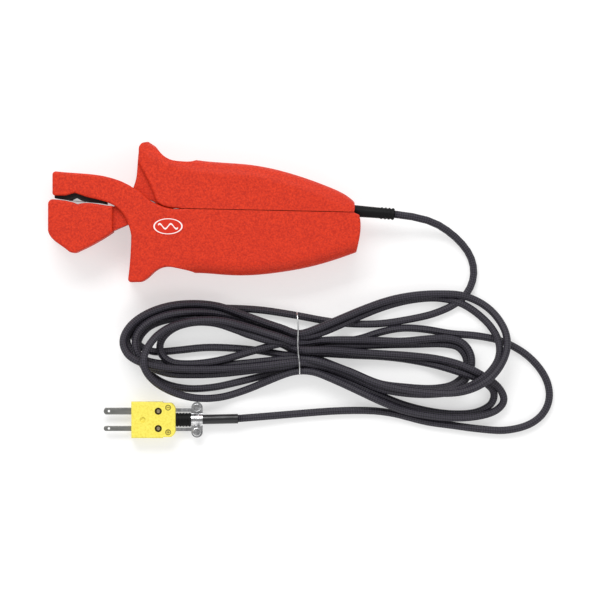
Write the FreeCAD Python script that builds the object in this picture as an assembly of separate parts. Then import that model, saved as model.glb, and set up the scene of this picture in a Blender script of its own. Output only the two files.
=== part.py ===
import FreeCAD, Part
import math
import os

V = FreeCAD.Vector
os.makedirs("parts", exist_ok=True)

# A spring clamp that holds a type K sensing ribbon against a pipe, with its cord and plug.
# The object lies flat: z = 0 is the underside, and the jaws point towards -X.

# Clamp
THICK = 22.0                    # whole thickness of the clamp
MID = THICK / 2                 # split plane of the moulded shells
CHEEK = 2.6                     # plates of the fixed lever above and below the moving one
GAP = 0.3                       # play between the levers
WALL = 2.0                      # moulded wall
OUTSIDE = 60.0                  # the grips' outlines run out here, and their crowned sides cut them
EDGE = 1.0                      # rounding of the moulded edges
GRIP_EDGE = 6.0                 # rounding along the palm and finger side of the grips
MOVING_LOW = CHEEK + GAP        # underside of the moving lever
MOVING_HIGH = THICK - MOVING_LOW

# Hinge
HINGE = V(-25, 1, 0)
PIN_RADIUS = 3.0
PIN_BORE = 3.05
WASHER_RADIUS = 4.0
HUB_RADIUS = 10.0
SWEEP_RADIUS = 21.8             # reach of the moving lever inside the fixed one
COIL_POCKET = 7.6
WIRE = 0.6                      # radius of the spring wire
COIL_RADIUS = 5.6
COIL_TURNS = 4.86

# Screws
SCREW_HEAD = 2.6
SCREW_SHANK = 1.2
BOSS = 3.4
FIXED_SCREWS = [(-4, -17), (26, -18), (54, -14), (-48.5, 11.6), (-29.5, -26.5)]
MOVING_SCREWS = [(-25, 24), (2, 14), (34, 11), (-60, -9), (-50, -6)]

# Cord
CORD = 1.7                      # radius of the cord
ARC_SHARE = 0.45                # share of the shorter run that a bend takes
SLEEVE_TILT = -4.7              # degrees, the strain relief points slightly to the front
SLEEVE_START = V(66.5, 0.5, MID)
SLEEVE_LENGTH = 20.0
SLEEVE_ROOT = 2.8
SLEEVE_TIP = 2.35
HANK_HEIGHT = 8.0
TIE_X = 42.8
TIE_WIRE = 0.45

# Plug, lying on its broad side, blades towards -X
PLUG_X = -33.4                  # front face of the body
PLUG_Y = -94.8
PLUG_LENGTH = 20.2
PLUG_WIDTH = 16.6
PLUG_THICK = 8.0
PLUG_MID = PLUG_THICK / 2       # height of the plug's split plane
BLADE_PITCH = 7.92
BLADE_LENGTH = 12.7
BLADE_THICK = 0.8
BUSHING_RADIUS = 3.2
BUSHING_LENGTH = 7.0


# ---- helpers ----------------------------------------------------------------------------
def cylinder(radius, height, at, axis=V(0, 0, 1)):
    return Part.makeCylinder(radius, height, at, axis)


def box(low, high):
    low, high = V(*low), V(*high)
    return Part.makeBox(high.x - low.x, high.y - low.y, high.z - low.z, low)


def outline(start, stretches):
    """Closed face in the XY plane from lines, arcs and smooth curves."""
    here = V(*start)
    edges = []
    for kind, points in stretches:
        points = [V(*p) for p in points]
        if kind == "line":
            for point in points:
                edges.append(Part.LineSegment(here, point).toShape())
                here = point
        elif kind == "arc":
            edges.append(Part.Arc(here, points[0], points[1]).toShape())
        else:
            curve = Part.BSplineCurve()
            curve.interpolate([here] + points)
            edges.append(curve.toShape())
        here = points[-1]
    edges.append(Part.LineSegment(here, V(*start)).toShape())
    return Part.Face(Part.Wire(edges))


def slab(face, low, high):
    plate = face.copy()
    plate.translate(V(0, 0, low))
    return plate.extrude(V(0, 0, high - low))


def rounded(solid, radius, wanted=lambda middle: True):
    """Fillet the edges of the top and bottom faces whose middle passes the test."""
    low, high = solid.BoundBox.ZMin, solid.BoundBox.ZMax
    edges = []
    for edge in solid.Edges:
        middle = edge.valueAt((edge.FirstParameter + edge.LastParameter) / 2)
        flat = min(middle.z - low, high - middle.z) < 0.01
        if flat and wanted(middle):
            edges.append(edge)
    return solid.makeFillet(radius, edges)


def bend(before, corner, after):
    """Start, middle and end of the largest arc that rounds a corner, and its radius."""
    back = before - corner
    ahead = after - corner
    trim = ARC_SHARE * min(back.Length, ahead.Length)
    back.normalize()
    ahead.normalize()
    half = back.getAngle(ahead) / 2
    radius = trim * math.tan(half)
    inward = back + ahead
    inward.normalize()
    middle = corner + inward * (radius / math.sin(half) - radius)
    return corner + back * trim, middle, corner + ahead * trim, radius


def bends(points):
    points = [V(*p) for p in points]
    return [bend(*corner) for corner in zip(points, points[1:], points[2:])]


def tube(points, radius):
    """Round bar along straight runs joined by tangent arcs."""
    edges = []
    here = V(*points[0])
    for start, middle, end, _ in bends(points):
        edges.append(Part.LineSegment(here, start).toShape())
        edges.append(Part.Arc(start, middle, end).toShape())
        here = end
    edges.append(Part.LineSegment(here, V(*points[-1])).toShape())
    path = Part.Wire(edges)
    ring = Part.Wire(Part.makeCircle(radius, V(*points[0]), V(*points[1]) - V(*points[0])))
    return path.makePipeShell([ring], True, False)


def fuse(shapes):
    return shapes[0].multiFuse(shapes[1:]).removeSplitter()


def group(shapes):
    return Part.makeCompound(shapes)


def save(name, shape):
    for solid in shape.Solids:
        if not solid.isValid():
            print("not valid:", name)
    if len(shape.Solids) == 1:
        shape = shape.Solids[0]
    shape.exportStep("parts/%s.step" % name)
    print("%-26s %2d solid(s) %9.1f mm3" % (name, len(shape.Solids), shape.Volume))


# ---- outlines of the two levers -------------------------------------------------------------
CROTCH = (-31.8, 10.5)

fixed_face = outline((68.0, -0.5), [
    ("line", [(-11, 1.2)]),
    ("curve", [(-16, 1.5), (-20.9, 3.1), (-24.6, 5.0), (-27.6, 7.8), CROTCH]),
    ("curve", [(-37.3, 13.5), (-44.6, 15.8), (-57, 17.3), (-67, 18.1)]),
    ("arc", [(-68.2, 17.7), (-68.7, 16.6)]),
    ("line", [(-68.7, 8.4)]),
    ("arc", [(-68.35, 7.55), (-67.5, 7.2)]),
    ("line", [(-62.8, 7.2), (-58.5, 8.4), (-53.7, 6.7)]),
    ("curve", [(-47.5, 5.2), (-42.2, 3.4), (-38.2, 0.6), (-34.9, -4.4), (-33.0, -11.0)]),
    ("curve", [(-33.5, -22), (-34.4, -30.6)]),
    ("arc", [(-34.0, -31.7), (-32.9, -32.1)]),
    ("line", [(-28.8, -32.0)]),
    ("curve", [(-25.6, -30.2), (-21.8, -26.8), (-17.2, -25.1), (-12, -25.8), (-7, -26.9), (-2.5, -29.0),
               (0, -34), (1, -OUTSIDE)]),
    ("line", [(67, -OUTSIDE)]),
    ("curve", [(67.6, -26), (68.9, -19), (70.1, -13.6), (70.9, -5.0), (70.3, -1.6)]),
])

moving_face = outline((67.9, -0.5 + GAP), [
    ("line", [(-11, 1.2 + GAP)]),
    ("curve", [(-20.9, 0.4), (-27, 0.2), (-32.6, 3.6)]),
    ("curve", [(-32.7, 9), (-31.2, 13.5), (-30.3, 20), (-29.6, 28.4)]),
    ("arc", [(-28.6, 30.6), (-26.6, 31.4)]),
    ("curve", [(-24.0, 31.2), (-22.2, 29.6), (-19.4, 26.2), (-15.5, 23.6), (-10, 22.7), (-5, 22.9),
               (-0.5, 25.5), (2, 33), (3, OUTSIDE)]),
    ("line", [(65.5, OUTSIDE)]),
    ("curve", [(66, 16), (67.0, 9), (67.9, 5.4), (68.3, 2.2)]),
])

# Where the moving grip is as thick as the fixed one. Its hinge end is lower, so that it can turn
# under the cheeks of the fixed lever.
full_face = outline((67.5, -3.0), [
    ("line", [(-9.5, -1.0), (-11, 1.2 + GAP)]),
    ("curve", [(-16, 1.9), (-19.4, 3.0), (-21.7, 5.0), (-22.6, 7.6), (-23.6, 10), (-24.7, 12.6),
               (-27.2, 17.5), (-29.9, 22.5)]),
    ("curve", [(-29.7, 25.5), (-29.6, 28.4)]),
    ("arc", [(-28.6, 30.6), (-26.6, 31.4)]),
    ("curve", [(-24.0, 31.2), (-22.2, 29.6), (-19.4, 26.2), (-15.5, 23.6), (-10, 22.7), (-5, 22.9),
               (-0.5, 25.5), (2, 33), (3, OUTSIDE)]),
    ("line", [(65.5, OUTSIDE)]),
    ("curve", [(66, 16), (67.0, 9), (67.9, 5.4), (68.3, 2.2), (67.9, -0.5)]),
])
seam_face = outline((70, -0.5 + GAP), [("line", [(67.9, -0.5 + GAP), (-11, 1.2 + GAP), (-11, -6), (70, -6)])])

jaw_face = outline((-41.4, 2.4), [
    ("curve", [(-50, 3.6), (-54, 3.8), (-57.3, 3.2)]),
    ("line", [(-59.3, 4.1), (-62.8, 4.9), (-68.4, 5.5)]),
    ("arc", [(-70.0, 4.9), (-70.7, 3.2)]),
    ("line", [(-70.7, -8.6)]),
    ("curve", [(-69.9, -10.8), (-64.6, -15.6), (-61.6, -17.9)]),
    ("arc", [(-59.4, -18.8), (-57.3, -18.3)]),
    ("curve", [(-50, -14.7), (-41.4, -9.4)]),
])

jaw_room_face = outline((-44.5, -0.2), [
    ("line", [(-54, 1.0), (-67.6, 2.4), (-67.8, -7.6), (-60.4, -15.4), (-52, -12.4), (-44.5, -8.2)]),
])

neck_face = outline((-42.0, 2.2), [
    ("line", [(-34.5, 3.2), (-24.0, 10.2), (-24.0, -8.2), (-34.7, -5.9), (-42.0, -9.1)]),
])


def crown(points, low, high, far_corners):
    """Plate with a softly rounded long side: the curve leaves the plate square to its ends."""
    curve = Part.BSplineCurve()
    points = [V(*p) for p in points]
    along = V(0, 60 if points[-1].y > points[0].y else -60, 0)
    curve.interpolate(Points=points, InitialTangent=along, FinalTangent=along)
    edges = [curve.toShape()]
    here = points[-1]
    for corner in far_corners + [points[0]]:
        edges.append(Part.LineSegment(here, V(*corner)).toShape())
        here = V(*corner)
    plate = slab(Part.Face(Part.Wire(edges)), low, high)
    long_side = lambda middle: middle.x > points[0].x + 1
    return rounded(plate, GRIP_EDGE, long_side)


fixed_room_side = [(66, -16.8), (50, -22.2), (28, -26.0), (8, -26.2), (-6, -24.6), (-14, -23.0)]
moving_room_side = [(64.5, 4.6), (57, 8.6), (42.8, 13.8), (21, 18.8), (4, 20.2), (-13, 20.6)]


def grip_room(side, front, back, low):
    """Hollow inside a grip, with a wall left along its side and its seam."""
    face = outline(back, [("line", [side[0]]), ("curve", side[1:]), ("line", [front])])
    return slab(face, low, THICK - low)


def shells(body, tools):
    """Bottom and top shells, parted at the split plane and then hollowed by the tools."""
    size = body.BoundBox
    lower = box((size.XMin - 1, size.YMin - 1, -1), (size.XMax + 1, size.YMax + 1, MID))
    pair = []
    for half in (body.common(lower), body.cut(lower)):
        for tool in tools:
            half = half.cut(tool)
        pair.append(half)
    return pair


def screws(places, seat):
    """Self-tapping screws driven from below, with the room that they need."""
    bodies = []
    room = []
    for x, y in places:
        head = cylinder(SCREW_HEAD, 1.8, V(x, y, seat + 0.8))
        socket = cylinder(0.9, 1.0, V(x, y, seat + 0.8))
        shank = cylinder(SCREW_SHANK, MID + 3.5 - seat, V(x, y, seat + 2.6))
        bodies.append(head.fuse(shank).cut(socket))
        room.append(fuse([cylinder(SCREW_HEAD + 0.1, 3.6, V(x, y, seat - 1)), shank]))
    return group(bodies), group(room)


# ---- fixed lever: upper jaw and lower grip, which carry the sensor and the cord ---------------
def sensor_holder():
    face = outline((-67.8, 6.1), [
        ("line", [(-62.6, 5.35), (-60.4, 5.2), (-58.2, 6.3), (-55.6, 4.9), (-53.0, 4.35)]),
        ("line", [(-48, 3.95), (-44.2, 3.25), (-44.2, 10.0), (-67.8, 11.0)]),
    ])
    return slab(face, 3, THICK - 3)


def sensing_ribbon():
    face = outline((-61.6, 5.0), [
        ("arc", [(-57.9, 4.62), (-54.0, 4.3)]),
        ("line", [(-54.0, 4.5)]),
        ("arc", [(-57.9, 4.82), (-61.6, 5.2)]),
    ])
    return slab(face, MID - 2.5, MID + 2.5)


LEAD = 0.45                     # radius of each sensor wire
LEAD_DEPTH = 1.25               # they cross the hinge inside the lower cheek
SPLICE_X = 42.0
SPLICE_Y = -6.4
SPLICE_LENGTH = 7.0
CONDUCTOR = 0.5


def lead_route(side):
    """Sensor wire from the ribbon's holder, round the hinge pin, to its splice."""
    shift = 0.9 * side
    return [
        (-50.0, 8.0 + shift, 4.2), (-43.5, 8.0 + shift, 4.0), (-40.0, 8.0 + shift, LEAD_DEPTH),
        (-33.4 + 0.7 * shift, 5.6 + 0.7 * shift, LEAD_DEPTH), (-30.8 + shift, -2.0, LEAD_DEPTH),
        (-26.8 + 0.7 * shift, -7.8 + 0.7 * shift, LEAD_DEPTH), (-17.0, -9.8 + shift, LEAD_DEPTH),
        (-8.0, -9.0 + shift, LEAD_DEPTH + 0.2), (-2.0, -9.6 + shift, 5.0),
        (14.0, -9.2 + shift, 7.0), (SPLICE_X, SPLICE_Y + 1.6 * side, MID),
    ]


def conductor_route(side):
    """Conductor of the cord from its splice to the end of the strain relief."""
    start = SPLICE_X + SPLICE_LENGTH
    y = SPLICE_Y + 1.6 * side
    return [(start, y, MID), (start + 3.5, y, MID), (60.4, 0.9 + 0.7 * side, MID)]


def fixed_lever(sleeve, holder, leads, badge):
    on_seam = lambda middle: middle.y > -1 and middle.x > 0
    body = rounded(slab(fixed_face, 0, THICK), EDGE, lambda middle: not on_seam(middle))
    crowned = crown([(-30, -75), (-26, -50), (-17, -33.5), (-9, -28.6), (0, -28.0), (10, -28.8),
                     (21, -28.9), (35.5, -27.4), (50, -24.6), (64.6, -20.1), (80, -11), (88, 10), (90, 40)],
                    0, THICK, [(-80, 40), (-80, -75)])
    body = body.common(crowned)
    sweep = cylinder(SWEEP_RADIUS, THICK - 2 * CHEEK, V(HINGE.x, HINGE.y, CHEEK))
    sweep = sweep.cut(box((-30, -40, 0), (0, HINGE.y - 14, THICK)))
    sweep = sweep.cut(box((-12.6, -40, 0), (0, 40, THICK)))
    gland = box((58.5, -4.6, MID - 4.6), (66.0, 4.4, MID + 4.6))
    body = body.fuse(gland)
    room = grip_room(fixed_room_side, (-14, -3.0), (66, -3.4), CHEEK).cut(gland)
    for x, y in FIXED_SCREWS[:3]:
        room = room.cut(cylinder(BOSS, THICK, V(x, y, 0)))
    pin_seat = cylinder(PIN_BORE, THICK - 2, V(HINGE.x, HINGE.y, 1))
    conductor_ways = [tube(conductor_route(side), CONDUCTOR + 0.15) for side in (1, -1)]
    fixings, fixing_room = screws(FIXED_SCREWS, 0)
    tools = [room, sweep, pin_seat, sleeve, holder, leads, badge, fixing_room] + conductor_ways
    return shells(body, tools), fixings


def strain_relief():
    """Tapered sleeve with a collar held in the gland, and rings near its tip."""
    axis = V(math.cos(math.radians(SLEEVE_TILT)), math.sin(math.radians(SLEEVE_TILT)), 0)
    root = SLEEVE_START - axis * 6.0
    whole = SLEEVE_LENGTH + 6.0
    cone = Part.makeCone(SLEEVE_ROOT, SLEEVE_TIP, whole, root, axis)
    collar = cylinder(3.8, 2.0, root, axis)
    rings = [cylinder(SLEEVE_TIP + 0.35, 0.9, root + axis * (whole - 1.2 - 1.7 * i), axis) for i in range(4)]
    return fuse([cone, collar] + rings), root + axis * whole


def pivot():
    pin = cylinder(PIN_RADIUS, THICK - 2.2, V(HINGE.x, HINGE.y, 1.1))
    washers = []
    for low in (CHEEK, THICK - CHEEK - 0.6):
        ring = cylinder(WASHER_RADIUS, 0.6, V(HINGE.x, HINGE.y, low))
        washers.append(ring.cut(cylinder(PIN_BORE, 0.6, V(HINGE.x, HINGE.y, low))))
    return pin, group(washers)


def torsion_spring():
    """Coil round the pin; one leg bears on each lever."""
    pitch = 2 * WIRE + 0.25
    height = pitch * COIL_TURNS
    low = MID - height / 2
    helix = Part.makeHelix(pitch, height, COIL_RADIUS)
    helix.translate(V(HINGE.x, HINGE.y, low))
    start = helix.Edges[0].valueAt(helix.Edges[0].FirstParameter)
    ring = Part.Wire(Part.makeCircle(WIRE, start, V(0, 1, 0)))
    coil = Part.Wire(helix.Edges).makePipeShell([ring], True, True)
    turn = math.radians(360 * COIL_TURNS)
    end = V(HINGE.x + COIL_RADIUS * math.cos(turn), HINGE.y + COIL_RADIUS * math.sin(turn), low + height)
    ahead = V(-math.sin(turn), math.cos(turn), 0)
    legs = []
    for foot, toe in ((start, start + V(0, -13, 0)), (end, end + ahead * 15)):
        way = toe - foot
        legs.append(cylinder(WIRE, way.Length, foot, way))
        legs.append(Part.makeSphere(WIRE, foot))
        legs.append(Part.makeSphere(WIRE, toe))
    return fuse([coil] + legs)


# ---- moving lever: lower jaw and upper grip -------------------------------------------------
def moving_lever():
    jaw = rounded(slab(jaw_face, 0, THICK), EDGE)
    grip = rounded(slab(full_face, 0, THICK), EDGE).cut(slab(seam_face, 0, THICK))
    crowned = crown([(-44, 70), (-40, 50), (-22, 29.5), (0, 22.9), (21, 21.2), (42.8, 16.2),
                     (57.3, 10.9), (70, 2), (78, -16), (80, -40)],
                    0, THICK, [(-80, -40), (-80, 70)])
    hinge_end = rounded(slab(moving_face, MOVING_LOW, MOVING_HIGH), EDGE)
    hinge_end = hinge_end.common(box((-40, -5, 0), (-12, 26, THICK)))
    hub = cylinder(HUB_RADIUS, MOVING_HIGH - MOVING_LOW, V(HINGE.x, HINGE.y, MOVING_LOW))
    neck = slab(neck_face, MOVING_LOW, MOVING_HIGH)
    body = grip.common(crowned).fuse(hinge_end).fuse(hub).fuse(neck).fuse(jaw)
    room = grip_room(moving_room_side, (-13, 4.4), (64.5, 2.4), CHEEK)
    room = room.cut(box((-30, -5, 0), (-8, 30, MOVING_LOW + WALL)))
    room = room.cut(box((-30, -5, MOVING_HIGH - WALL), (-8, 30, THICK)))
    for x, y in MOVING_SCREWS[:3]:
        room = room.cut(cylinder(BOSS, THICK, V(x, y, 0)))
    jaw_room = slab(jaw_room_face, CHEEK, THICK - CHEEK)
    for x, y in MOVING_SCREWS[3:]:
        jaw_room = jaw_room.cut(cylinder(BOSS, THICK, V(x, y, 0)))
    pin_way = cylinder(PIN_BORE, THICK, V(HINGE.x, HINGE.y, 0))
    pocket = cylinder(COIL_POCKET, 9.4, V(HINGE.x, HINGE.y, MID - 4.7))
    lower_way = box((-26, -12, MID - 4.7), (-15, -2, MID - 2.2))
    upper_way = box((-21, -3, MID + 2.2), (-9, 8.5, MID + 4.7))
    washer_seats = [cylinder(WASHER_RADIUS + 0.3, 1.0, V(HINGE.x, HINGE.y, low))
                    for low in (CHEEK - 0.25, THICK - CHEEK - 0.75)]
    gland_way = box((56.6, -2, MID - 5.0), (72, 4.9, MID + 5.0))
    fixings, fixing_room = screws(MOVING_SCREWS, 0)
    tools = [room, jaw_room, pin_way, pocket, lower_way, upper_way, gland_way, fixing_room]
    return shells(body, tools + washer_seats), fixings


# ---- cord -----------------------------------------------------------------------------------
CORD_LOW = CORD + 0.2
LEAD_PATH = [(100.4, -2.5, 8.2), (113.0, -9.6, 3.4), (121.8, -19.5, CORD_LOW), (123.4, -30.0, CORD_LOW),
             (118.9, -39.0, CORD_LOW)]
TAIL_PATH = [(15.2, -94.3, PLUG_MID), (28.0, -93.3, 2.6), (43.5, -92.0, CORD_LOW), (60.0, -90.7, CORD_LOW),
             (76.0, -90.5, CORD_LOW), (86.0, -92.2, CORD_LOW)]


def hank():
    """Outer shape of the tied bundle: a lobe on each side of the tie and one loose loop."""
    face = outline((TIE_X - 1.6, -73.6), [
        ("line", [(TIE_X + 1.6, -73.6)]),
        ("curve", [(57, -76), (72, -83.5), (90, -94.8), (112, -98.6), (136.5, -101.4), (152, -97.5),
                   (159.2, -84), (154, -70), (141, -59.5), (136, -47), (122, -38.2), (108, -35.8),
                   (88, -38), (68, -45), (54, -51), (TIE_X + 1.6, -54.4)]),
        ("line", [(TIE_X - 1.6, -54.4)]),
        ("curve", [(30, -50.5), (18, -43.5), (0, -40.3), (-14, -40.8), (-30, -47), (-38.9, -58),
                   (-32.5, -68), (-22, -77.6), (-6, -85.2), (12, -84.4), (30, -78.6)]),
    ])
    body = slab(face, 0.2, HANK_HEIGHT)
    for low, high in ((-1, 1.3), (6.7, 10)):
        body = body.cut(box((TIE_X - 1.0, -80, low), (TIE_X + 1.0, -50, high)))
    return body


def wire_tie():
    """Thin wire wound round the waist of the hank."""
    low, high, near, far = 0.75, 7.25, -74.2, -53.8
    loop = tube([(TIE_X, -64, low), (TIE_X, near, low), (TIE_X, near, high), (TIE_X, far, high),
                 (TIE_X, far, low), (TIE_X, -64, low)], TIE_WIRE)
    return loop


# ---- plug -----------------------------------------------------------------------------------
TERMINAL_X = PLUG_X + 12.3
TERMINAL_HOLE = 1.65
BLADE_WIDTHS = {"plug_blade_wide": (1, 3.2), "plug_blade_narrow": (-1, 2.4)}
CLAMP_X = (-6.1, -0.9)
CLAMP_SCREW_X = -3.6
CLAMP_SCREW_Y = 5.55
SHRINK = 2.2                    # radius of the heat-shrink sleeve


def plug_blade(side, width):
    y = PLUG_Y + side * BLADE_PITCH / 2
    tip = PLUG_X - BLADE_LENGTH
    half = width / 2
    face = outline((PLUG_X + 3, y - half), [
        ("line", [(tip + 1.0, y - half)]),
        ("arc", [(tip, y), (tip + 1.0, y + half)]),
        ("line", [(PLUG_X + 3, y + half)]),
    ])
    blade = rounded(slab(face, PLUG_MID - BLADE_THICK / 2, PLUG_MID + BLADE_THICK / 2), 0.2)
    blade = blade.cut(cylinder(0.55, PLUG_THICK, V(tip + 2.4, y, 0)))
    plate = box((PLUG_X + 2, y - 2.5, PLUG_MID - BLADE_THICK / 2),
                (TERMINAL_X + 2.6, y + 2.5, PLUG_MID + BLADE_THICK / 2))
    return fuse([blade, plate])


def terminal_screw(side):
    y = PLUG_Y + side * BLADE_PITCH / 2
    head = cylinder(TERMINAL_HOLE - 0.2, 1.5, V(TERMINAL_X, y, PLUG_MID + BLADE_THICK / 2))
    shank = cylinder(1.0, 4.6, V(TERMINAL_X, y, PLUG_MID + BLADE_THICK / 2 - 3.2))
    slot = box((TERMINAL_X - 2, y - 0.25, PLUG_MID + 1.2), (TERMINAL_X + 2, y + 0.25, PLUG_MID + 2))
    return head.fuse(shank).cut(slot)


def body_screw():
    x = PLUG_X + 5.2
    head = cylinder(1.3, 1.2, V(x, PLUG_Y, 0.5))
    shank = cylinder(0.8, 5.2, V(x, PLUG_Y, 1.7))
    return head.fuse(shank).cut(box((x - 2, PLUG_Y - 0.2, 0), (x + 2, PLUG_Y + 0.2, 1.0)))


def plug_shells(metal, bushing):
    half = PLUG_WIDTH / 2
    back = PLUG_X + PLUG_LENGTH
    face = outline((PLUG_X, PLUG_Y - half), [
        ("line", [(back - 3.6, PLUG_Y - half)]),
        ("curve", [(back - 1.4, PLUG_Y - half + 0.9), (back, PLUG_Y - half + 3.0)]),
        ("line", [(back, PLUG_Y + half - 3.0)]),
        ("curve", [(back - 1.4, PLUG_Y + half - 0.9), (back - 3.6, PLUG_Y + half)]),
        ("line", [(PLUG_X, PLUG_Y + half)]),
    ])
    body = rounded(slab(face, 0, PLUG_THICK), 0.7)
    rooms = []
    for side in (1, -1):
        y = PLUG_Y + side * BLADE_PITCH / 2
        rooms.append(cylinder(TERMINAL_HOLE, PLUG_THICK, V(TERMINAL_X, y, PLUG_MID)))
        rooms.append(box((TERMINAL_X + 1, y - 1.0, PLUG_MID + 0.4), (back - 2.2, y + 1.0, PLUG_MID + 2.4)))
        rooms.append(cylinder(1.0, 0.35, V(back - 3.4, PLUG_Y + side * 5.6, PLUG_THICK - 0.35)))
        edge = PLUG_Y + side * half
        rooms.append(box((PLUG_X + 14.4, edge - 0.5, -1), (PLUG_X + 18.2, edge + 0.5, PLUG_THICK + 1)))
    rooms.append(box((back - 4.4, PLUG_Y - 5.6, PLUG_MID - 1.4), (back - 2.0, PLUG_Y + 5.6, PLUG_MID + 2.4)))
    rooms.append(cylinder(1.4, 2, V(PLUG_X + 5.2, PLUG_Y, -0.5)))
    rooms.append(cylinder(1.3, 0.7, V(PLUG_X + 5.2, PLUG_Y, PLUG_THICK - 0.7)))
    for piece in rooms + metal + [bushing]:
        body = body.cut(piece)
    lower = box((PLUG_X - 20, PLUG_Y - 20, -1), (back + 5, PLUG_Y + 20, PLUG_MID))
    return body.common(lower), body.cut(lower)


def plug_bushing():
    """Ribbed rubber cord entry, its root held in the plug."""
    back = PLUG_X + PLUG_LENGTH
    along = V(1, 0, 0)
    core = cylinder(BUSHING_RADIUS - 0.35, BUSHING_LENGTH + 2.0, V(back - 2.0, PLUG_Y, PLUG_MID), along)
    ribs = [cylinder(BUSHING_RADIUS, 1.0, V(back + 0.2 + 1.4 * i, PLUG_Y, PLUG_MID), along) for i in range(5)]
    return fuse([core] + ribs)


def cable_clamp(side, shrink):
    """Half of the metal cord grip: an arch between two eyes, side +1 above and -1 below."""
    middle = (CLAMP_X[0] + CLAMP_X[1]) / 2
    width = CLAMP_X[1] - CLAMP_X[0]
    face = outline((CLAMP_X[0], PLUG_Y - CLAMP_SCREW_Y), [
        ("arc", [(middle, PLUG_Y - CLAMP_SCREW_Y - width / 2), (CLAMP_X[1], PLUG_Y - CLAMP_SCREW_Y)]),
        ("line", [(CLAMP_X[1], PLUG_Y + CLAMP_SCREW_Y)]),
        ("arc", [(middle, PLUG_Y + CLAMP_SCREW_Y + width / 2), (CLAMP_X[0], PLUG_Y + CLAMP_SCREW_Y)]),
    ])
    plate = slab(face, PLUG_MID, PLUG_MID + 0.8)
    arch = cylinder(SHRINK + 0.8, width, V(CLAMP_X[0], PLUG_Y, PLUG_MID), V(1, 0, 0))
    arch = arch.common(box((CLAMP_X[0], PLUG_Y - 5, PLUG_MID), (CLAMP_X[1], PLUG_Y + 5, PLUG_MID + 5)))
    half = fuse([plate, arch])
    if side < 0:
        half = half.mirror(V(0, 0, PLUG_MID), V(0, 0, 1))
        arms = [box((PLUG_X + PLUG_LENGTH - 2.4, PLUG_Y + s * 4.4 - 0.8, PLUG_MID - 0.8),
                    (CLAMP_X[0] + 1, PLUG_Y + s * 4.4 + 0.8, PLUG_MID)) for s in (1, -1)]
        half = fuse([half] + arms)
    for s in (1, -1):
        half = half.cut(cylinder(1.1, 4, V(CLAMP_SCREW_X, PLUG_Y + s * CLAMP_SCREW_Y, PLUG_MID - 2)))
    return half.cut(shrink)


def clamp_fixing(side):
    """Pan-head screw through both halves of the cord grip, and its nut."""
    y = PLUG_Y + side * CLAMP_SCREW_Y
    head = rounded(cylinder(1.9, 1.2, V(CLAMP_SCREW_X, y, PLUG_MID + 0.8)), 0.4)
    slot = box((CLAMP_SCREW_X - 2, y - 0.25, PLUG_MID + 1.4), (CLAMP_SCREW_X + 2, y + 0.25, PLUG_MID + 3))
    shank = cylinder(1.0, 3.4, V(CLAMP_SCREW_X, y, PLUG_MID - 2.4))
    corners = []
    for i in range(6):
        corners.append((CLAMP_SCREW_X + 2.1 * math.cos(math.pi * i / 3), y + 2.1 * math.sin(math.pi * i / 3)))
    nut = slab(outline(corners[0], [("line", corners[1:])]), PLUG_MID - 2.4, PLUG_MID - 0.8)
    screw = head.fuse(shank).cut(slot)
    return screw, nut.cut(shank)


# ---- sensor wiring in the fixed lever ---------------------------------------------------------
def splices():
    """Crimp sleeves joining the sensor wires to the cord's conductors."""
    sleeves = []
    conductors = []
    for side in (1, -1):
        sleeves.append(cylinder(0.9, SPLICE_LENGTH, V(SPLICE_X, SPLICE_Y + 1.6 * side, MID), V(1, 0, 0)))
        conductors.append(tube(conductor_route(side), CONDUCTOR))
    return group(sleeves), group(conductors)


def badge():
    oval = Part.Ellipse(V(-16.3, -6.8, 0), 7.0, 3.8).toShape()
    return slab(Part.Face(Part.Wire([oval])), THICK - 0.5, THICK + 0.15)


# ---- build --------------------------------------------------------------------------------
sleeve, sleeve_tip = strain_relief()
holder = sensor_holder()
ribbon = sensing_ribbon()
leads = group([tube(lead_route(side), LEAD) for side in (1, -1)])
badge_plate = badge()
splice_sleeves, conductors = splices()
(fixed_bottom, fixed_top), fixed_screws = fixed_lever(sleeve, holder, leads, badge_plate)
(moving_bottom, moving_top), moving_screws = moving_lever()
pin, washers = pivot()

save("fixed_lever_bottom_shell", fixed_bottom)
save("fixed_lever_top_shell", fixed_top)
save("fixed_lever_screws", fixed_screws)
save("moving_lever_bottom_shell", moving_bottom)
save("moving_lever_top_shell", moving_top)
save("moving_lever_screws", moving_screws)
save("pivot_pin", pin)
save("pivot_washers", washers)
save("torsion_spring", torsion_spring())
save("sensor_holder", holder.cut(leads))
save("sensing_ribbon", ribbon)
save("sensor_lead_wires", leads)
save("splice_sleeves", splice_sleeves)
save("cord_conductors", conductors)
save("badge", badge_plate)
save("handle_strain_relief", sleeve.cut(conductors))

for name, path in (("cord_lead", [tuple(sleeve_tip)] + LEAD_PATH), ("cord_tail", TAIL_PATH)):
    save(name, tube(path, CORD))
    print(name, "bend radii", [round(radius, 1) for _, _, _, radius in bends(path)])
save("cord_hank", hank())
save("wire_tie", wire_tie())

shrink_start = V(CLAMP_X[0] + 0.05, PLUG_Y, PLUG_MID)
shrink_end = V(*TAIL_PATH[0])
shrink = cylinder(SHRINK, (shrink_end - shrink_start).Length, shrink_start, shrink_end - shrink_start)
blades = {}
for name, (side, width) in BLADE_WIDTHS.items():
    blades[name] = plug_blade(side, width)
terminals = [terminal_screw(side) for side in (1, -1)]
fixings = [clamp_fixing(side) for side in (1, -1)]
clamp_upper = cable_clamp(1, shrink)
clamp_lower = cable_clamp(-1, shrink)
bushing = plug_bushing()
screw = body_screw()
plug_bottom, plug_top = plug_shells(list(blades.values()) + terminals + [screw, clamp_lower], bushing)
save("plug_bottom_shell", plug_bottom)
save("plug_top_shell", plug_top)
for name, blade in blades.items():
    save(name, blade.cut(group(terminals)))
save("plug_terminal_screws", group(terminals))
save("plug_body_screw", screw)
save("plug_bushing", bushing)
save("heat_shrink_sleeve", shrink)
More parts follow.
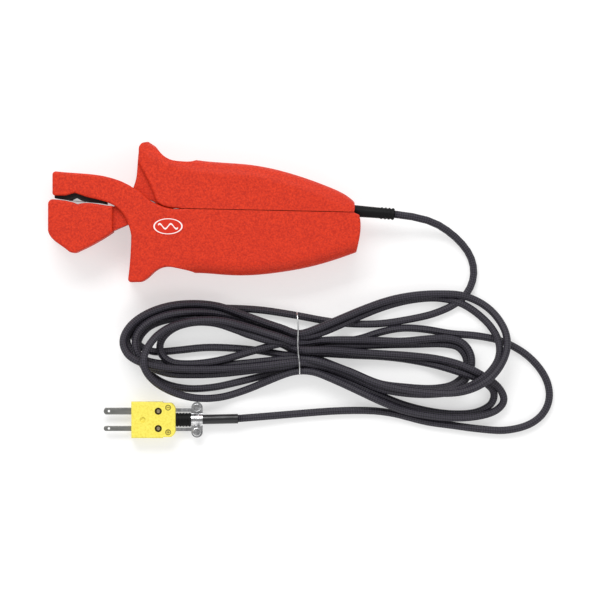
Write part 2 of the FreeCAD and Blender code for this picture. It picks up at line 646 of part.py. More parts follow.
save("cable_clamp_upper", clamp_upper)
save("cable_clamp_lower", clamp_lower)
save("cable_clamp_screws", group([screw_part for screw_part, _ in fixings]))
save("cable_clamp_nuts", group([nut for _, nut in fixings]))
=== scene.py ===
import math

import bpy
import numpy as np
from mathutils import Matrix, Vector


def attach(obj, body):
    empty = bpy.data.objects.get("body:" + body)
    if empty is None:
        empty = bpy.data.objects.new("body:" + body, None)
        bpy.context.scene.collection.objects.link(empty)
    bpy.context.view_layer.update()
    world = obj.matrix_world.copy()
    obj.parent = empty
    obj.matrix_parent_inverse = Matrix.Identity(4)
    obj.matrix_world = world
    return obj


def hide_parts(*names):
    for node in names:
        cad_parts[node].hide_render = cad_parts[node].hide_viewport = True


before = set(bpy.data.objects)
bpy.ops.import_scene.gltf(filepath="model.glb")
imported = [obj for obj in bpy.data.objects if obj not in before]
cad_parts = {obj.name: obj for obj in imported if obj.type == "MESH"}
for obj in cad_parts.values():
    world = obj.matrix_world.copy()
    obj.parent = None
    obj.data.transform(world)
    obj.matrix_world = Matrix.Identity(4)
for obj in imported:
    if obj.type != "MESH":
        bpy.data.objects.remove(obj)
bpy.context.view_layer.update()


# ---- view --------------------------------------------------------------------------------------
# The probe lies on a white sweep and is seen from straight above through a long lens.
# A wide softbox lights it from beyond its top edge and a weaker one from the near side. The
# white surround is open overhead, so flat metal and plastic reflect something darker.
MM = 0.001
VIEW_CENTRE = Vector((41.2, -37.9, 0)) * MM
VIEW_WIDTH = 268.5 * MM
CAMERA_HEIGHT = 2.4
FOCUS_HEIGHT = 10 * MM          # the width above is measured at the middle of the levers

camera = bpy.data.objects.new("camera", bpy.data.cameras.new("camera"))
camera.location = VIEW_CENTRE + Vector((0, 0, CAMERA_HEIGHT))
camera.data.sensor_width = 36.0
camera.data.lens = camera.data.sensor_width * (CAMERA_HEIGHT - FOCUS_HEIGHT) / VIEW_WIDTH
camera.data.clip_end = 20
bpy.context.scene.collection.objects.link(camera)
bpy.context.scene.camera = camera
bpy.context.scene.view_settings.view_transform = "Standard"

for name, place, size, power in (
        ("key_light", Vector((-0.2, 0.85, 1.0)), (1.0, 0.5), 12.5),
        ("fill_light", Vector((0.5, -0.9, 0.9)), (0.9, 0.6), 3.0)):
    lamp = bpy.data.lights.new(name, "AREA")
    lamp.shape = "RECTANGLE"
    lamp.size, lamp.size_y = size
    lamp.energy = power
    light = bpy.data.objects.new(name, lamp)
    light.location = place
    light.rotation_euler = (VIEW_CENTRE - place).to_track_quat("-Z", "Y").to_euler()
    bpy.context.scene.collection.objects.link(light)

world = bpy.data.worlds.new("surround")
bpy.context.scene.world = world
world.use_nodes = True
surround = world.node_tree
direction = surround.nodes.new("ShaderNodeTexCoord")
parts = surround.nodes.new("ShaderNodeSeparateXYZ")
opening = surround.nodes.new("ShaderNodeMapRange")
opening.interpolation_type = "SMOOTHSTEP"
opening.inputs["From Min"].default_value = 0.80
opening.inputs["From Max"].default_value = 0.97
opening.inputs["To Min"].default_value = 0.78
opening.inputs["To Max"].default_value = 0.30
surround.links.new(direction.outputs["Generated"], parts.inputs[0])
surround.links.new(parts.outputs["Z"], opening.inputs["Value"])
surround.links.new(opening.outputs["Result"], surround.nodes["Background"].inputs["Strength"])
surround.nodes["Background"].inputs["Color"].default_value = (1, 1, 1, 1)


# ---- sweep -------------------------------------------------------------------------------------
# A matt white acrylic board under the probe, lit from below so that hardly a shadow shows. Of the
# two classes, one makes a finish and its nodes, the other lets sockets be added and multiplied.
class Socket:
    def __init__(self, finish, socket):
        self.finish = finish
        self.socket = socket

    def maths(self, operation, other=0.0, swapped=False):
        first, second = (other, self) if swapped else (self, other)
        return self.finish.node("ShaderNodeMath", {"operation": operation}, {0: first, 1: second})

    def __add__(self, other):
        return self.maths("ADD", other)

    def __sub__(self, other):
        return self.maths("SUBTRACT", other)

    def __rsub__(self, other):
        return self.maths("SUBTRACT", other, swapped=True)

    def __mul__(self, other):
        return self.maths("MULTIPLY", other)

    def __pow__(self, other):
        return self.maths("POWER", other)

    def __truediv__(self, other):
        return self.maths("DIVIDE", other)

    __radd__ = __add__
    __rmul__ = __mul__


class Finish:
    def __init__(self, name, colour, roughness, **constants):
        self.material = bpy.data.materials.new(name)
        self.material.use_nodes = True
        self.shader = self.material.node_tree.nodes["Principled BSDF"]
        self.shader.inputs["Base Color"].default_value = (*colour, 1)
        self.shader.inputs["Roughness"].default_value = roughness
        for socket, value in constants.items():
            self.shader.inputs[socket.replace("_", " ")].default_value = value

    def node(self, kind, settings, values, output=0):
        """Any node: its settings first, then a value or a link for each of its sockets."""
        made = self.material.node_tree.nodes.new(kind)
        for setting, value in settings.items():
            setattr(made, setting, value)
        for socket, value in values.items():
            if isinstance(value, Socket):
                self.material.node_tree.links.new(value.socket, made.inputs[socket])
            else:
                made.inputs[socket].default_value = value
        return Socket(self, made.outputs[output])

    def coordinates(self, kind="Object"):
        return self.node("ShaderNodeTexCoord", {}, {}, kind)

    def noise(self, per_metre, detail=2.0, stretch=(1, 1, 1)):
        where = self.node("ShaderNodeMapping", {}, {"Vector": self.coordinates(), "Scale": stretch})
        values = {"Vector": where, "Scale": per_metre, "Detail": detail}
        return self.node("ShaderNodeTexNoise", {}, values)

    def between(self, value, low, high):
        """The value as a share of the way from low to high, kept within 0 and 1."""
        values = {"Value": value, "From Min": low, "From Max": high}
        return self.node("ShaderNodeMapRange", {"clamp": True}, values)

    def mixed(self, share, first, second):
        """Colour between two colours or colour sockets."""
        first, second = [(*c, 1) if isinstance(c, tuple) else c for c in (first, second)]
        return self.node("ShaderNodeMix", {"data_type": "RGBA"}, {0: share, 6: first, 7: second}, 2)

    def feed(self, socket, value):
        self.material.node_tree.links.new(value.socket, self.shader.inputs[socket])

    def relief(self, height, depth):
        """Bumps of a depth in metres."""
        values = {"Height": height, "Distance": depth}
        self.feed("Normal", self.node("ShaderNodeBump", {}, values, "Normal"))

    def dress(self, *nodes):
        """Put the finish on CAD nodes."""
        for node in nodes:
            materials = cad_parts[node].data.materials
            if not materials:
                materials.append(self.material)
            for index in range(len(materials)):
                materials[index] = self.material


BOARD_GLOW = 0.50
BOARD_HALF = 3               # metres, past every edge of the view
acrylic = Finish("board_acrylic", (0.52, 0.52, 0.52), 0.9, Specular_IOR_Level=0.0,
                 Emission_Color=(1, 1, 1, 1), Emission_Strength=BOARD_GLOW)
board_mesh = bpy.data.meshes.new("board")
board_corners = [(BOARD_HALF * x, BOARD_HALF * y, 0) for x, y in ((-1, -1), (1, -1), (1, 1), (-1, 1))]
board_mesh.from_pydata(board_corners, [], [(0, 1, 2, 3)])
board_mesh.materials.append(acrylic.material)
board = bpy.data.objects.new("board", board_mesh)
bpy.context.scene.collection.objects.link(board)


# ---- levers ------------------------------------------------------------------------------------
# Four half shells moulded in red glass-filled nylon. The tools are spark eroded, which leaves a
# fine even grain. Pigment and glass show as a faint speckle, and handling has polished it a little.
nylon = Finish("red_nylon", (0.57, 0.027, 0.006), 0.5, Specular_IOR_Level=0.24)
speckle = nylon.noise(1300, 3.0)
cloud = nylon.noise(70, 3.0)
red = nylon.mixed(nylon.between(speckle, 0.32, 0.68), (0.44, 0.016, 0.004), (0.68, 0.038, 0.008))
nylon.feed("Base Color", nylon.mixed(0.22 * nylon.between(cloud, 0.35, 0.7), red, (0.50, 0.018, 0.005)))
nylon.feed("Roughness", 0.46 + 0.20 * nylon.noise(420))
nylon.relief(nylon.noise(1000, 3.0) + 0.5 * nylon.noise(2600), 0.00022)
nylon.dress("fixed_lever_bottom_shell", "fixed_lever_top_shell", "moving_lever_bottom_shell",
            "moving_lever_top_shell")


# ---- sensor ------------------------------------------------------------------------------------
# A hard black holder in the upper jaw carries a thin sensing ribbon of nickel alloy across the
# notch, where it is pressed against the pipe. Two insulated wires lead from it.
holder = Finish("holder_black", (0.010, 0.010, 0.011), 0.5, Specular_IOR_Level=0.3)
holder.feed("Roughness", 0.44 + 0.2 * holder.noise(500))
holder.relief(holder.noise(1500, 3.0), 0.0001)
holder.dress("sensor_holder")

alloy = Finish("nickel_alloy", (0.5, 0.49, 0.47), 0.3, Metallic=1.0)
alloy.feed("Roughness", 0.24 + 0.25 * alloy.noise(900, 3.0, (0.08, 1, 1)))
alloy.feed("Base Color", alloy.mixed(alloy.noise(500), (0.42, 0.41, 0.38), (0.60, 0.58, 0.54)))
alloy.dress("sensing_ribbon")

insulation = Finish("wire_insulation", (0.75, 0.55, 0.07), 0.45)
insulation.feed("Roughness", 0.38 + 0.16 * insulation.noise(500))
insulation.dress("sensor_lead_wires", "cord_conductors")


# ---- hinge and screws --------------------------------------------------------------------------
# Turned steel pin, washers and a torsion spring of drawn wire between the levers. Self-tapping
# screws hold the shells together from below, and crimp sleeves join the wires inside.
steel = Finish("bright_steel", (0.52, 0.52, 0.53), 0.3, Metallic=1.0)
steel.feed("Roughness", 0.22 + 0.22 * steel.noise(800, 3.0))
steel.feed("Base Color", steel.mixed(steel.noise(300), (0.44, 0.44, 0.45), (0.60, 0.60, 0.61)))
steel.dress("pivot_pin", "pivot_washers", "torsion_spring", "fixed_lever_screws", "moving_lever_screws",
            "splice_sleeves", "plug_body_screw")


# ---- badge -------------------------------------------------------------------------------------
# An oval pad on the fixed lever, red like the shell. A white ring and a plain wavy line are
# printed on it.
pad = Finish("badge_print", (0.60, 0.026, 0.008), 0.4, Specular_IOR_Level=0.3)
BADGE_CENTRE = (-16.3, -6.8)
BADGE_HALF = (7.0, 3.8)
badge_place = pad.node("ShaderNodeSeparateXYZ", {}, {0: pad.coordinates()})
across = Socket(pad, badge_place.socket.node.outputs["X"]) * 1000 - BADGE_CENTRE[0]
up = Socket(pad, badge_place.socket.node.outputs["Y"]) * 1000 - BADGE_CENTRE[1]
oval = ((across / BADGE_HALF[0]) ** 2 + (up / BADGE_HALF[1]) ** 2).maths("SQRT")
PRINT = 0.3                     # half the width of the printed lines
ring = 1 - pad.between((oval - 0.90).maths("ABSOLUTE"), 0.035, 0.055)
wave = (up - 1.1 * (across * 1.25).maths("SINE")).maths("ABSOLUTE")
wave_ends = 1 - pad.between(across.maths("ABSOLUTE"), 4.4, 4.6)
wave = (1 - pad.between(wave, PRINT, PRINT + 0.15)) * wave_ends
ink = ring.maths("MAXIMUM", wave)
pad.feed("Base Color", pad.mixed(ink, (0.58, 0.024, 0.008), (0.86, 0.80, 0.78)))
pad.feed("Roughness", 0.36 + 0.14 * pad.noise(600))
pad.dress("badge")


# ---- strain relief -----------------------------------------------------------------------------
# A tapered sleeve of soft black rubber, held in the end of the fixed lever, which the cord
# leaves through. The plug's ribbed bushing is the same rubber.
rubber = Finish("black_rubber", (0.004, 0.004, 0.0045), 0.55, Specular_IOR_Level=0.16)
rubber.feed("Roughness", 0.46 + 0.2 * rubber.noise(400))
rubber.relief(rubber.noise(1400, 3.0), 0.00008)
rubber.dress("handle_strain_relief", "plug_bushing")


# ---- cord --------------------------------------------------------------------------------------------
# One length of limp two-core cable in a soft dark jacket. It leaves the grip, is folded into a
# hank of uneven loops on each side of a wire tie, makes one loose loop, and runs to the plug.
CORD = 3.4                      # diameter
FLOOR = CORD / 2 + 0.2
TIE_X = 42.8

lead_route = [
    (86.0, -1.1, 11.0), (100.4, -2.5, 8.2), (113.0, -9.6, 3.4), (121.8, -19.5, FLOOR),
    (123.4, -30.0, FLOOR), (118.9, -39.0, FLOOR),
]
tail_route = [
    (86.0, -91.8, FLOOR), (76.0, -90.5, FLOOR), (60.0, -90.7, FLOOR), (43.5, -92.0, FLOOR),
    (28.0, -93.3, 2.6), (14.6, -94.3, 4.0),
]

# The loops as they fan out from the tie, in the order that the cord makes them. Each has the
# order in which it was laid down, lowest first, and its plan from the tie round to the tie.
loops = [
    (5, [(112, -43.4), (104, -46.6), (94, -48.9), (80, -51.0), (66, -51.0), (54, -49.5), (40, -46.9),
         (25, -44.7), (10, -43.9), (-4, -43.5), (-16, -44.9), (-26, -48.7), (-33.2, -53.6), (-35.6, -59),
         (-32.4, -64.8), (-25, -68.3), (-14, -69.8), (0, -70.1), (14, -69.4), (28, -68.0), (36, -67.2)]),
    (7, [(50, -67.6), (58, -69.9), (67, -73.0), (77, -77.4), (88, -80.3), (100, -82.0), (112, -82.6),
         (121, -80.9), (129, -76.6), (134.6, -70.3), (137.7, -63), (137.4, -55.6), (133.4, -48.0),
         (127, -42.1), (118, -38.2), (108, -37.4), (96, -38.0), (84, -40.3), (72, -44.5), (60, -49.5),
         (50, -53.6)]),
    (9, [(36, -53.3), (27, -50.3), (17, -46.7), (6, -42.9), (-5, -41.8), (-16, -42.8), (-26, -46.2),
         (-33.6, -51.6), (-37.2, -58.2), (-35.2, -64.6), (-28, -69.0), (-16, -71.3), (-2, -71.8),
         (12, -71.4), (26, -70.2), (36, -68.9)]),
    (6, [(50, -69.6), (59, -72.0), (69, -76.0), (79, -80.3), (90, -82.5), (102, -83.2), (113, -82.0),
         (122, -78.7), (129.3, -73.6), (134.0, -66.6), (134.2, -59.4), (130.6, -52.4), (124, -46.0),
         (116, -41.3), (106, -39.3), (94, -40.2), (82, -43.3), (70, -48.0), (58, -53.3), (50, -56.2)]),
    (8, [(36, -55.2), (27, -52.2), (17, -49.0), (6, -46.2), (-6, -45.6), (-17, -46.9), (-26, -50.6),
         (-31.2, -56.4), (-31.0, -63.6), (-26.4, -69.6), (-17, -73.6), (-5, -74.3), (8, -73.8),
         (22, -72.2), (34, -70.6)]),
    (3, [(50, -70.6), (60, -74.4), (71, -78.4), (82, -80.9), (94, -82.2), (106, -82.2), (115.5, -79.6),
         (120.8, -73.6), (121.8, -66.4), (118.4, -60.2), (111, -57.6), (101, -58.0), (90, -59.0),
         (78, -58.6), (66, -58.3), (54, -58.6)]),
    (10, [(36, -57.6), (27, -54.8), (17, -51.8), (6, -49.4), (-6, -49.8), (-16, -52.6), (-23.0, -57.8),
          (-27.0, -64.4), (-27.4, -70.8), (-23.0, -77.0), (-14.5, -82.1), (-4, -84.9), (7, -84.6),
          (18, -81.5), (30, -76.6), (37, -73.8)]),
    (5, [(50, -73.0), (60, -77.0), (70, -81.6), (80, -86.3), (91, -90.6), (103, -93.0), (115, -94.0),
         (126, -93.0), (133.6, -90.2), (136.7, -85.6), (133.8, -79.7), (126.5, -74.4), (117, -69.8),
         (106, -67.0), (94, -65.6), (82, -64.8), (70, -64.0), (56, -62.9)]),
    (4, [(36, -59.4), (27, -56.4), (17, -53.5), (6, -51.0), (-6, -48.6), (-17, -49.2), (-26, -52.8),
         (-30.6, -59.2), (-30.0, -66.4), (-26.0, -73.0), (-18.5, -78.2), (-8, -80.6), (4, -80.0),
         (17, -77.2), (29, -74.2), (37, -72.3)]),
    (4, [(50, -71.8), (60, -75.6), (70, -79.6), (80, -83.6), (91, -88.0), (103, -91.0), (114, -92.2),
         (124, -91.4), (131.0, -87.4), (131.8, -81.4), (125.6, -76.6), (116, -73.0), (105, -69.8),
         (93, -67.4), (81, -66.0), (68, -65.4), (55, -64.6)]),
    (3, [(36, -60.6), (27, -58.0), (17, -55.0), (6, -49.0), (-6, -47.2), (-17, -47.6), (-27, -49.6),
         (-32.4, -54.4), (-30.6, -60.4), (-23.6, -63.8), (-13, -63.2), (0, -61.9), (12, -62.1),
         (25, -63.3), (36, -65.2)]),
    (2, [(50, -66.6), (59, -70.0), (69, -74.0), (80, -78.4), (92, -80.0), (104, -80.6), (113.5, -78.8),
         (118.8, -73.8), (119.6, -67.2), (116.0, -61.8), (108, -60.2), (97, -60.4), (85, -60.6),
         (72, -61.0), (56, -61.1)]),
    (6, [(36, -59.6), (27, -58.2), (16, -54.4), (5, -50.8), (-5, -50.4), (-14, -53.0), (-19.6, -58.0),
         (-20.2, -64.0), (-15.2, -68.6), (-4, -69.2), (8, -67.4), (20, -64.0), (32, -60.6)]),
    (1, [(52, -58.6), (62, -59.0), (71, -57.8), (80, -54.9), (90, -53.0), (101, -53.6), (112, -55.5),
         (124, -56.5), (135, -58.8), (145, -63.8), (152.3, -70.6), (156.6, -78.2), (157.3, -85.6),
         (154.3, -92.3), (147.5, -97.3), (137, -99.7), (125, -99.0), (113, -97.4), (102, -95.9),
         (93.5, -93.8)]),
]
# Places across the tie, counted from its upper edge, in the order that the cord passes them.
passes = [8, 0, 9, 1, 10, 3, 12, 5, 11, 6, 7, 4, 2]
PASS_PITCH = 1.4
FIRST_PASS_Y = -55.7
LAYER = 2.9                     # rise from the lower strands in the tie to the upper ones
TIE_LIFT = 1.1                  # the tie's wire and its twist lie under them
STEEPEST = 0.30                 # slope at which the limp cord comes down from a strand below it
TIED_WITHIN = 3.5               # distance from the tie inside which its wire sets the height

ROUTE_PITCH = 3.2
plan = []                       # x, y, laying order
for i, (laid, places) in enumerate(loops):
    plan += [(x, y, laid) for x, y in places]
    if i < len(passes):
        plan.append((TIE_X, FIRST_PASS_Y - PASS_PITCH * passes[i], laid))


def spaced(plan, pitch):
    """The same plan with closely and evenly spaced places, passing smoothly through each."""
    out = []
    padded = [plan[0]] + plan + [plan[-1]]
    for before, here, there, after in zip(padded, padded[1:], padded[2:], padded[3:]):
        a, b, c, d = (np.array(p[:2], float) for p in (before, here, there, after))
        steps = max(1, round(float(np.linalg.norm(c - b)) / pitch))
        for k in range(steps):
            t = k / steps
            place = b + 0.5 * t * (c - a + t * (2 * a - 5 * b + 4 * c - d + t * (3 * (b - c) + d - a)))
            out.append((*place, here[2] if t < 0.5 else there[2]))
    out.append(plan[-1])
    return out


def laid_heights(plan):
    """Heights of the strands: each rests on the floor or on what was laid before it."""
    places = np.array([p[:2] for p in plan], float)
    order = np.array([p[2] for p in plan])
    along = np.r_[0, np.cumsum(np.linalg.norm(np.diff(places, axis=0), axis=1))]
    heights = np.full(len(plan), FLOOR)
    tied = np.abs(places[:, 0] - TIE_X) < TIED_WITHIN
    slots = np.round((FIRST_PASS_Y - places[:, 1]) / PASS_PITCH)
    heights[tied] += TIE_LIFT + LAYER * (slots[tied] % 2)
    for rank in range(1, order.max() + 1):
        below = np.flatnonzero(order < rank)
        mine = np.flatnonzero(order == rank)
        for i in mine[~tied[mine]]:
            gap = np.linalg.norm(places[below] - places[i], axis=1)
            near = (gap < CORD) & (np.abs(along[below] - along[i]) > 3 * CORD)
            if near.any():
                rests = heights[below[near]] + np.sqrt(CORD ** 2 - gap[near] ** 2)
                heights[i] = max(heights[i], rests.max())
        for way in (1, -1):
            for i in mine[::way]:
                if 0 <= i - way < len(plan):
                    lowest = heights[i - way] - STEEPEST * abs(along[i] - along[i - way])
                    heights[i] = max(heights[i], lowest)
    kernel = np.array([1, 2, 3, 2, 1]) / 9
    return np.convolve(np.r_[[heights[0]] * 2, heights, [heights[-1]] * 2], kernel, "valid")


plan = spaced(plan, ROUTE_PITCH)
route = list(lead_route)
route += [(x, y, z) for (x, y, _), z in zip(plan, laid_heights(plan))]
route += tail_route

curve = bpy.data.curves.new("cord_line", "CURVE")
curve.dimensions = "3D"
spline = curve.splines.new("NURBS")
spline.points.add(len(route) - 1)
for point, place in zip(spline.points, route):
    point.co = (place[0] * MM, place[1] * MM, place[2] * MM, 1)
spline.order_u = 3
spline.use_endpoint_u = True
spline.resolution_u = 3
line = bpy.data.objects.new("cord_line", curve)
bpy.context.scene.collection.objects.link(line)
line_mesh = bpy.data.meshes.new_from_object(line.evaluated_get(bpy.context.evaluated_depsgraph_get()))
path = np.array([vertex.co for vertex in line_mesh.vertices])
bpy.data.objects.remove(line)

# The jacket's skin, with a UV map in metres: along the cord, and round it.
SIDES = 14
ahead = np.gradient(path, axis=0)
ahead /= np.linalg.norm(ahead, axis=1)[:, None]
side = np.cross(ahead[0], (0, 0, 1))
rings = []
for place, forward in zip(path, ahead):
    side = side - forward * side.dot(forward)
    side /= np.linalg.norm(side)
    other = np.cross(forward, side)
    turn = np.arange(SIDES) * 2 * math.pi / SIDES
    rings.append(place + CORD / 2 * MM * (np.outer(np.cos(turn), side) + np.outer(np.sin(turn), other)))
skin_places = np.concatenate(rings)
along = np.r_[0, np.cumsum(np.linalg.norm(np.diff(path, axis=0), axis=1))]
faces = []
uvs = []
for i in range(len(path) - 1):
    for j in range(SIDES):
        k = (j + 1) % SIDES
        faces.append((i * SIDES + j, i * SIDES + k, (i + 1) * SIDES + k, (i + 1) * SIDES + j))
        low, high = j / SIDES, (j + 1) / SIDES
        uvs += [(along[i], low), (along[i], high), (along[i + 1], high), (along[i + 1], low)]
for first, order in ((0, -1), ((len(path) - 1) * SIDES, 1)):
    faces.append([first + j for j in range(SIDES)][::order])
    uvs += [(0, 0)] * SIDES
skin = bpy.data.meshes.new("cord")
skin.from_pydata(skin_places.tolist(), [], faces)
skin.uv_layers.new(name="along").data.foreach_set("uv", np.array(uvs, float).ravel())
skin.shade_smooth()
cord = bpy.data.objects.new("cord", skin)
bpy.context.scene.collection.objects.link(cord)

jacket = Finish("cord_jacket", (0.013, 0.012, 0.017), 0.5, Specular_IOR_Level=0.4)
uv = jacket.node("ShaderNodeSeparateXYZ", {}, {0: jacket.coordinates("UV")})
run = Socket(jacket, uv.socket.node.outputs["X"]) * (2 * math.pi / 0.0022)
round_it = Socket(jacket, uv.socket.node.outputs["Y"]) * (2 * math.pi * 5)
weave = (run + round_it).maths("SINE") * (run - round_it).maths("SINE")
crown_of_yarn = jacket.between(weave, -0.6, 0.9)
dust = jacket.noise(900, 3.0)
# Painted shade and painted highlight of the weave: the colour is near black in the hollows between the
# yarns and lighter on their crowns.
painted_weave_shading = jacket.mixed(crown_of_yarn, (0.003, 0.003, 0.005), (0.040, 0.034, 0.052))
dusty = 0.4 * jacket.between(dust, 0.45, 0.75)
jacket.feed("Base Color", jacket.mixed(dusty, painted_weave_shading, (0.034, 0.030, 0.042)))
jacket.feed("Roughness", 0.44 + 0.2 * dust)
jacket.relief(crown_of_yarn + 0.4 * dust, 0.00016)
skin.materials.append(jacket.material)
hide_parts("cord_lead", "cord_hank", "cord_tail")
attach(cord, "fixed_lever")


# ---- wire tie ----------------------------------------------------------------------------------
# One turn of thin plated wire round the hank's waist, its ends twisted together underneath.
# A small tree gives any line of points the wire's round section.
WIRE = 0.3                      # radius
waist = np.array([p for p in route if abs(p[0] - TIE_X) < 2.5 and p[1] > tail_route[0][1] + 10])
near_side = waist[:, 1].min() - CORD / 2 - WIRE
far_side = waist[:, 1].max() + CORD / 2 + WIRE
over = waist[:, 2].max() + CORD / 2 + WIRE
UNDER = 0.75                    # height of the wire where it passes below the strands
TURN_POINTS = 48
SQUARENESS = 0.55               # between a box, 0, and an ellipse, 1
tie_points = []
for i in range(TURN_POINTS + 1):
    turn = 2 * math.pi * i / TURN_POINTS - math.pi / 2
    c, s = math.cos(turn), math.sin(turn)
    y = (near_side + far_side) / 2 + (far_side - near_side) / 2 * math.copysign(abs(c) ** SQUARENESS, c)
    z = (over + UNDER) / 2 + (over - UNDER) / 2 * math.copysign(abs(s) ** SQUARENESS, s)
    tie_points.append((TIE_X + 0.035 * (-64 - y) + 0.25 * math.sin(y / 3), y, z))
middle = tie_points[0]
TWIST_POINTS = 25
TWIST_LENGTH = 3.6
POINTS_PER_TURN = 8
twists = []
for phase in (0, math.pi):
    twist = []
    for i in range(TWIST_POINTS):
        turn = phase + 2 * math.pi * i / POINTS_PER_TURN
        twist.append((middle[0] + 0.6 + TWIST_LENGTH * i / (TWIST_POINTS - 1),
                      middle[1] + WIRE * math.cos(turn), 0.62 + WIRE * math.sin(turn)))
    twists.append(twist)

wire_tree = bpy.data.node_groups.new("wire_section", "GeometryNodeTree")
wire_tree.interface.new_socket("Line", in_out="INPUT", socket_type="NodeSocketGeometry")
radius_socket = wire_tree.interface.new_socket("Radius", in_out="INPUT", socket_type="NodeSocketFloat")
material_socket = wire_tree.interface.new_socket("Material", in_out="INPUT",
                                                 socket_type="NodeSocketMaterial")
wire_tree.interface.new_socket("Wire", in_out="OUTPUT", socket_type="NodeSocketGeometry")
wire_in = wire_tree.nodes.new("NodeGroupInput")
wire_out = wire_tree.nodes.new("NodeGroupOutput")
to_curve = wire_tree.nodes.new("GeometryNodeMeshToCurve")
section = wire_tree.nodes.new("GeometryNodeCurvePrimitiveCircle")
section.inputs["Resolution"].default_value = 10
sweep = wire_tree.nodes.new("GeometryNodeCurveToMesh")
sweep.inputs["Fill Caps"].default_value = True
smooth = wire_tree.nodes.new("GeometryNodeSetShadeSmooth")
realize = wire_tree.nodes.new("GeometryNodeRealizeInstances")
coat = wire_tree.nodes.new("GeometryNodeSetMaterial")
for source, target in (
        (wire_in.outputs["Line"], to_curve.inputs["Mesh"]),
        (wire_in.outputs["Radius"], section.inputs["Radius"]),
        (to_curve.outputs["Curve"], sweep.inputs["Curve"]),
        (section.outputs["Curve"], sweep.inputs["Profile Curve"]),
        (sweep.outputs["Mesh"], smooth.inputs["Geometry"]),
        (smooth.outputs["Geometry"], realize.inputs["Geometry"]),
        (realize.outputs["Geometry"], coat.inputs["Geometry"]),
        (wire_in.outputs["Material"], coat.inputs["Material"]),
        (coat.outputs["Geometry"], wire_out.inputs["Wire"])):
    wire_tree.links.new(source, target)

plating = Finish("bright_plating", (0.80, 0.80, 0.81), 0.18, Metallic=1.0)
plating.feed("Roughness", 0.12 + 0.18 * plating.noise(900, 3.0))
# Painted reflection: the plating's colour runs between dark and bright grey in small soft patches, in
# place of the surroundings that it mirrors.
painted_reflection = plating.between(plating.noise(420, 3.0), 0.35, 0.65)
plating.feed("Base Color", plating.mixed(painted_reflection, (0.42, 0.42, 0.43), (0.96, 0.96, 0.97)))

lines = [tie_points] + twists
vertices = [tuple(c * MM for c in p) for points in lines for p in points]
edges = []
first = 0
for points in lines:
    edges += [(first + i, first + i + 1) for i in range(len(points) - 1)]
    first += len(points)
tie_line = bpy.data.meshes.new("wire_tie_line")
tie_line.from_pydata(vertices, edges, [])
tie = bpy.data.objects.new("wire_tie_twisted", tie_line)
bpy.context.scene.collection.objects.link(tie)
wound = tie.modifiers.new("wire", "NODES")
wound.node_group = wire_tree
wound[radius_socket.identifier] = WIRE * MM
wound[material_socket.identifier] = plating.material
solid_tie = bpy.data.meshes.new_from_object(tie.evaluated_get(bpy.context.evaluated_depsgraph_get()))
tie.modifiers.remove(wound)
tie.data = solid_tie
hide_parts("wire_tie")
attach(tie, "fixed_lever")


# ---- plug --------------------------------------------------------------------------------------
# Two half shells in yellow glass-filled nylon hold two flat thermocouple-alloy blades, of
# different widths so that they can't be swapped, and the terminal screws that clamp the wires.
yellow = Finish("yellow_nylon", (0.84, 0.72, 0.10), 0.42, Specular_IOR_Level=0.4)
grain = yellow.noise(1100, 3.0)
base = yellow.mixed(yellow.between(grain, 0.3, 0.7), (0.78, 0.64, 0.075), (0.90, 0.80, 0.13))
MARK_X = -16.6                  # the two polarity marks by the cord entry
PLUG_Y = -94.8
MARK_Y = 5.6
plug_place = yellow.node("ShaderNodeSeparateXYZ", {}, {0: yellow.coordinates()})
mark_x = Socket(yellow, plug_place.socket.node.outputs["X"]) * 1000 - MARK_X
plug_y = Socket(yellow, plug_place.socket.node.outputs["Y"]) * 1000 - PLUG_Y
plug_z = Socket(yellow, plug_place.socket.node.outputs["Z"]) * 1000
mark_y = plug_y.maths("ABSOLUTE") - MARK_Y
from_mark = (mark_x ** 2 + mark_y.maths("ABSOLUTE") ** 2).maths("SQRT")
circle = 1 - yellow.between((from_mark - 1.15).maths("ABSOLUTE"), 0.12, 0.25)
inside_circle = 1 - yellow.between(from_mark, 0.65, 0.75)
bar = (1 - yellow.between(mark_y.maths("ABSOLUTE"), 0.12, 0.22)) * inside_circle
stem = (1 - yellow.between(mark_x.maths("ABSOLUTE"), 0.12, 0.22)) * inside_circle
stem = stem * yellow.between(0 - plug_y, 0.0, 0.5)
ink = circle.maths("MAXIMUM", bar.maths("MAXIMUM", stem)) * yellow.between(plug_z, 7.2, 7.5)
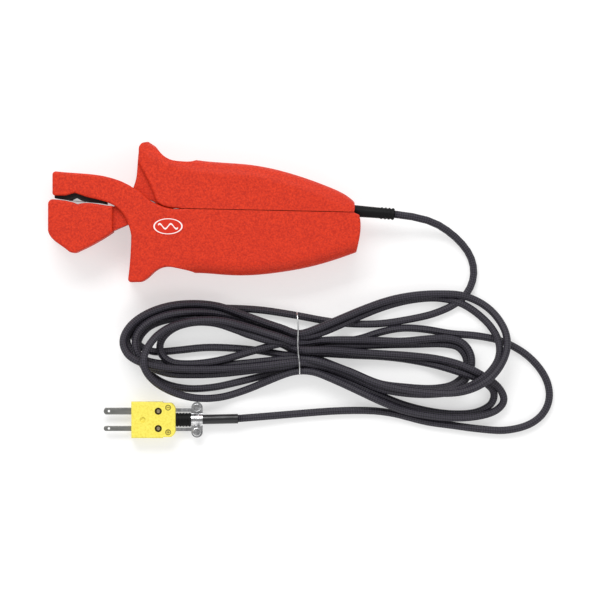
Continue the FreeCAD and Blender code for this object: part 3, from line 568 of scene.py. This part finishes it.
yellow.feed("Base Color", yellow.mixed(0.85 * ink, base, (0.10, 0.06, 0.01)))
yellow.feed("Roughness", 0.36 + 0.18 * yellow.noise(500))
yellow.relief(grain, 0.00012)
yellow.dress("plug_bottom_shell", "plug_top_shell")

blade = Finish("blade_alloy", (0.30, 0.30, 0.29), 0.34, Metallic=1.0)
blade.feed("Roughness", 0.26 + 0.26 * blade.noise(900, 3.0, (0.06, 1, 1)))
streaks = blade.noise(420, 3.0, (0.4, 1, 1))
blade.feed("Base Color", blade.mixed(streaks, (0.20, 0.20, 0.19), (0.44, 0.44, 0.42)))
blade.dress("plug_blade_wide", "plug_blade_narrow")

# Painted shade: the heads are dark outside their middles, where they sit in their wells, and bright
# where the driver has rubbed their middles.
brass = Finish("terminal_brass", (0.45, 0.36, 0.20), 0.35, Metallic=1.0)
TERMINAL_X = -21.1
TERMINAL_Y = 3.96
screw_place = brass.node("ShaderNodeSeparateXYZ", {}, {0: brass.coordinates()})
screw_x = Socket(brass, screw_place.socket.node.outputs["X"]) * 1000 - TERMINAL_X
screw_y = Socket(brass, screw_place.socket.node.outputs["Y"]) * 1000 - PLUG_Y
screw_y = screw_y.maths("ABSOLUTE") - TERMINAL_Y
from_screw = (screw_x ** 2 + screw_y ** 2).maths("SQRT")
painted_well_shade = brass.between(from_screw, 0.65, 0.95)
brass.feed("Base Color", brass.mixed(painted_well_shade, (0.75, 0.68, 0.52), (0.10, 0.07, 0.03)))
brass.feed("Roughness", 0.28 + 0.2 * brass.noise(900))
brass.dress("plug_terminal_screws")


# ---- heat-shrink and cord grip -----------------------------------------------------------------
# Black heat-shrink tube covers the cord's end. Two bright plated half straps grip it, held by
# two screws and nuts.
shrink = Finish("shrink_tube", (0.011, 0.011, 0.013), 0.3, Specular_IOR_Level=0.5)
shrink.feed("Roughness", 0.24 + 0.2 * shrink.noise(160, 3.0))
shrink.relief(shrink.noise(420, 2.0, (0.3, 1, 1)), 0.0002)
shrink.dress("heat_shrink_sleeve")
plating.dress("cable_clamp_upper", "cable_clamp_lower", "cable_clamp_screws", "cable_clamp_nuts")
